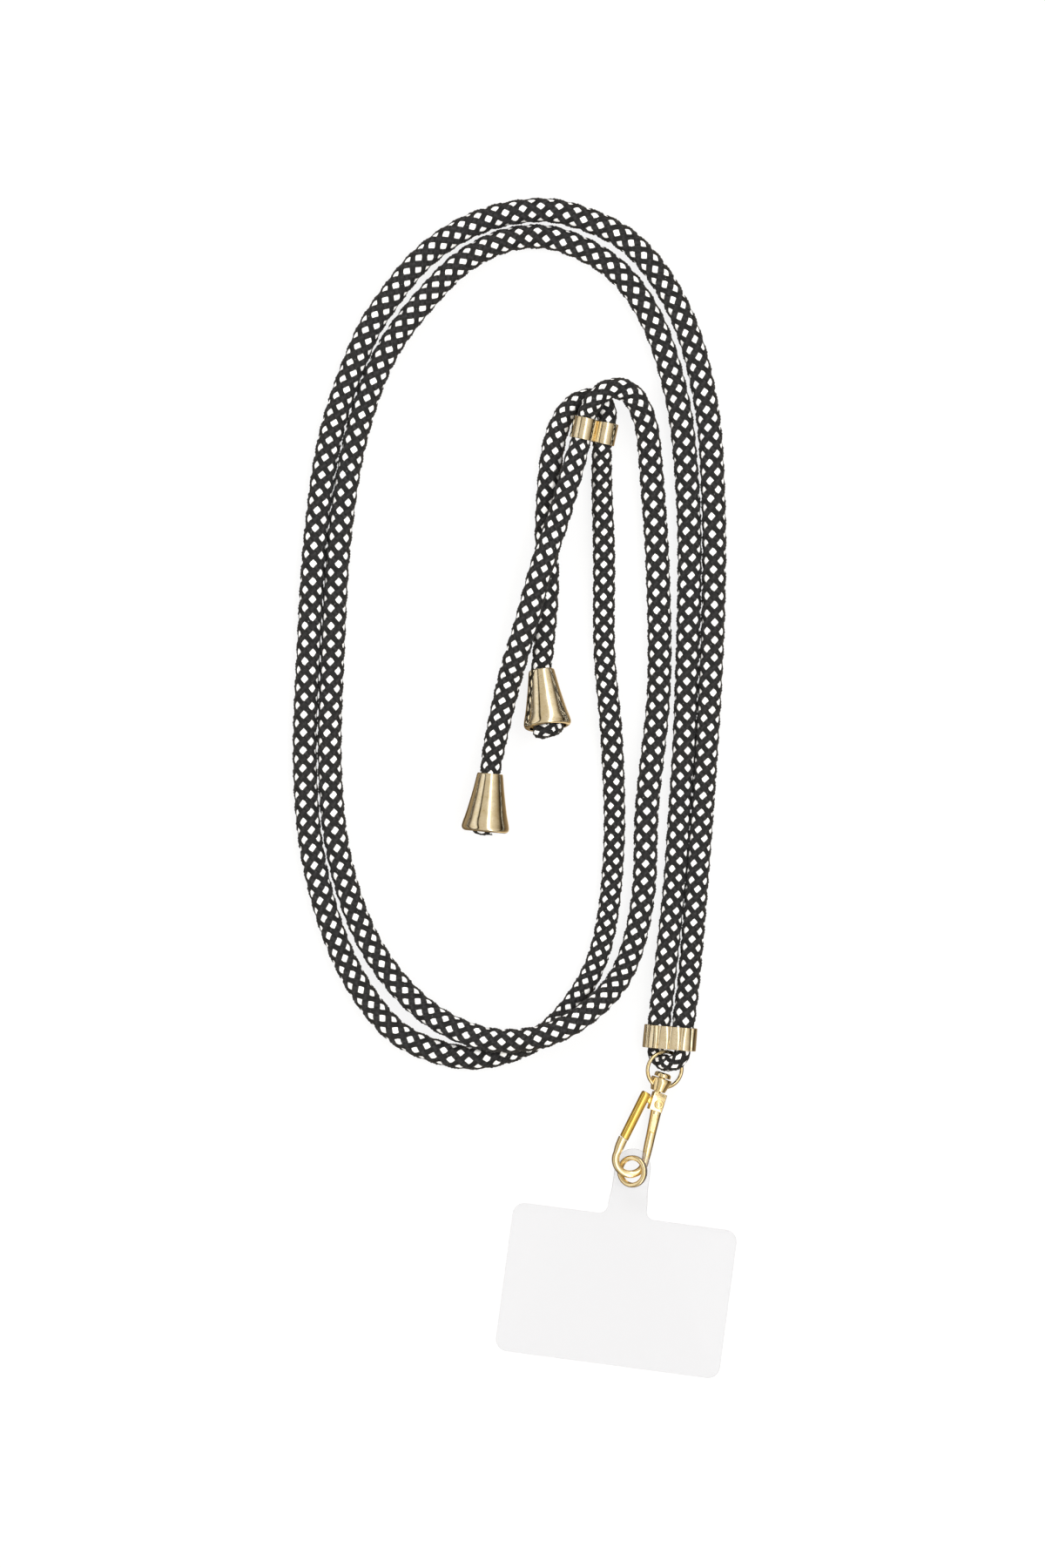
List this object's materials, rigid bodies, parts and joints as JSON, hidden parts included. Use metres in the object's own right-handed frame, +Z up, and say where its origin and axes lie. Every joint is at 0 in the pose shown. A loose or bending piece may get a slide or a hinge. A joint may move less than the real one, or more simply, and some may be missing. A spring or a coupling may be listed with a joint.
{
  "type": "phone chain",
  "caption": "Braided rope phone lanyard lying looped, with a two-hole slider, bell end caps, crimped ferrule, swivel clasp and clear phone card.",
  "frame": {"origin": "on the surface it lies on, at the middle of the hard pieces' box", "axes": "+Y from the phone card towards the top of the rope's loop, +Z up off the surface"},
  "size_m": [0.1196, 0.3176, 0.0128],
  "materials": {
    "rope": "braided black and white",
    "pale_gold": "satin plated",
    "yellow_gold": "bright plated",
    "clear_card": "clear flexible sheet"
  },
  "bodies": {
    "strap_side": {"strand_outer": "rope", "strand_inner": "rope", "strand_loop": "rope", "ferrule": "pale_gold", "slider": "pale_gold", "end_cap_upper": "pale_gold", "end_cap_lower": "pale_gold", "end_knot_upper": "rope", "end_knot_lower": "rope", "swivel_eye": "pale_gold"},
    "hook_side": {"hook": "yellow_gold", "gate_rivet": "yellow_gold", "card": "clear_card", "grommet": "yellow_gold"},
    "gate_lever": {"gate": "yellow_gold"}
  },
  "joints": [
    {"name": "swivel", "type": "hinge", "parent": "strap_side", "child": "hook_side", "pos_m": [0.0152, -0.0528, 0.003], "axis": [0.3074, 0.9516, 0], "continuous": true},
    {"name": "gate_opens", "type": "hinge", "parent": "hook_side", "child": "gate_lever", "pos_m": [0.01528, -0.05604, 0.00277], "axis": [0.1978, -0.0639, 0.9781], "range_deg": [0, 15], "stiffness_Nm_per_rad": 0.01, "springref_deg": -9.74}
  ]
}
